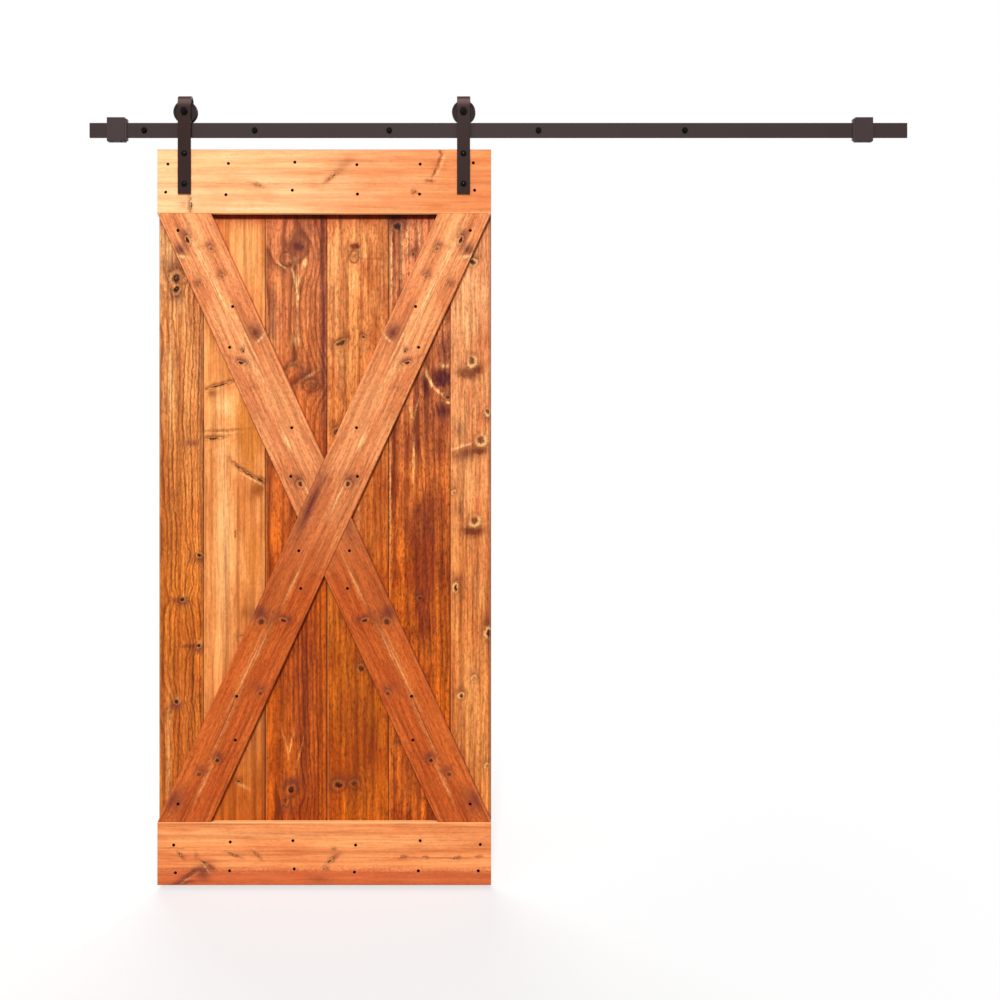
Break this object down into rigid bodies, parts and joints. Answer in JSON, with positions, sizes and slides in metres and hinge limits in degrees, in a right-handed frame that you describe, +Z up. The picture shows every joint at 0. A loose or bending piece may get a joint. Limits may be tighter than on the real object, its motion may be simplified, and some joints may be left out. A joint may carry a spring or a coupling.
{
  "type": "sliding barn door",
  "caption": "Rustic plank barn door with an X brace, hung from a flat wall track by strap hangers with grooved wheels that roll along it between end stops.",
  "frame": {"origin": "on the wall plane, on the axis of the middle lag bolt of the track", "axes": "+X along the track to the right as seen from the room, +Y into the wall, +Z up"},
  "size_m": [2.378, 0.101, 2.2909],
  "materials": {
    "header_board_wood": "oiled pine, knotty",
    "bottom_board_wood": "oiled pine, knotty",
    "long_brace_wood": "oiled pine, knotty",
    "upper_half_brace_wood": "oiled pine, knotty",
    "lower_half_brace_wood": "oiled pine, knotty",
    "plank_1_wood": "oiled pine, knotty",
    "plank_2_wood": "oiled pine, knotty",
    "plank_3_wood": "oiled pine, knotty",
    "plank_4_wood": "oiled pine, knotty",
    "plank_5_wood": "oiled pine, knotty",
    "plank_6_wood": "oiled pine, knotty",
    "track_steel": "dark bronze powder coat",
    "hanger_steel": "dark bronze powder coat",
    "wheel_steel": "blackened, satin",
    "black_bolts": "black oxide, satin",
    "bearing_steel": "ground",
    "bearing_cage_steel": "pressed",
    "bumper_rubber": "matte"
  },
  "bodies": {
    "track": {"track_rail": "track_steel", "rail_lag_bolts": "black_bolts", "rail_spacer_1": "track_steel", "rail_spacer_2": "track_steel", "rail_spacer_3": "track_steel", "rail_spacer_4": "track_steel", "rail_spacer_5": "track_steel", "left_stop_block": "track_steel", "left_stop_bumper": "bumper_rubber", "left_stop_set_screws": "black_bolts", "right_stop_block": "track_steel", "right_stop_bumper": "bumper_rubber", "right_stop_set_screws": "black_bolts"},
    "door": {"header_board": "header_board_wood", "bottom_board": "bottom_board_wood", "long_brace": "long_brace_wood", "upper_half_brace": "upper_half_brace_wood", "lower_half_brace": "lower_half_brace_wood", "plank_1": "plank_1_wood", "plank_2": "plank_2_wood", "plank_3": "plank_3_wood", "plank_4": "plank_4_wood", "plank_5": "plank_5_wood", "plank_6": "plank_6_wood", "header_screws": "black_bolts", "bottom_board_screws": "black_bolts", "brace_screws": "black_bolts", "hanger_bolts": "black_bolts", "hanger_washers": "black_bolts", "hanger_nuts": "black_bolts", "left_hanger_strap": "hanger_steel", "left_axle_bolt": "black_bolts", "left_axle_nut": "black_bolts", "left_axle_bushes": "bearing_steel", "left_bearing_inner_ring": "bearing_steel", "right_hanger_strap": "hanger_steel", "right_axle_bolt": "black_bolts", "right_axle_nut": "black_bolts", "right_axle_bushes": "bearing_steel", "right_bearing_inner_ring": "bearing_steel"},
    "left_wheel": {"left_wheel": "wheel_steel", "left_bearing_outer_ring": "bearing_steel", "left_bearing_shields": "bearing_cage_steel", "left_circlip": "bearing_cage_steel"},
    "left_ball_cage": {"left_bearing_balls": "bearing_steel", "left_bearing_cage": "bearing_cage_steel"},
    "right_wheel": {"right_wheel": "wheel_steel", "right_bearing_outer_ring": "bearing_steel", "right_bearing_shields": "bearing_cage_steel", "right_circlip": "bearing_cage_steel"},
    "right_ball_cage": {"right_bearing_balls": "bearing_steel", "right_bearing_cage": "bearing_cage_steel"}
  },
  "joints": [
    {"name": "door_slide", "type": "slide", "parent": "track", "child": "door", "axis": [1, 0, 0], "range_m": [-0.14115, 1.10315]},
    {"name": "left_wheel_spin", "type": "hinge", "parent": "door", "child": "left_wheel", "pos_m": [-0.59254, -0.041, 0.0522], "axis": [0, 1, 0], "continuous": true},
    {"name": "left_cage_spin", "type": "hinge", "parent": "door", "child": "left_ball_cage", "pos_m": [-0.59254, -0.041, 0.0522], "axis": [0, 1, 0], "continuous": true},
    {"name": "right_wheel_spin", "type": "hinge", "parent": "door", "child": "right_wheel", "pos_m": [0.21646, -0.041, 0.0522], "axis": [0, 1, 0], "continuous": true},
    {"name": "right_cage_spin", "type": "hinge", "parent": "door", "child": "right_ball_cage", "pos_m": [0.21646, -0.041, 0.0522], "axis": [0, 1, 0], "continuous": true}
  ],
  "couplings": [
    {"joint": "left_wheel_spin", "follows": "door_slide", "rad_per_m": 32.787},
    {"joint": "left_cage_spin", "follows": "door_slide", "rad_per_m": 20.82},
    {"joint": "right_wheel_spin", "follows": "door_slide", "rad_per_m": 32.787},
    {"joint": "right_cage_spin", "follows": "door_slide", "rad_per_m": 20.82}
  ]
}
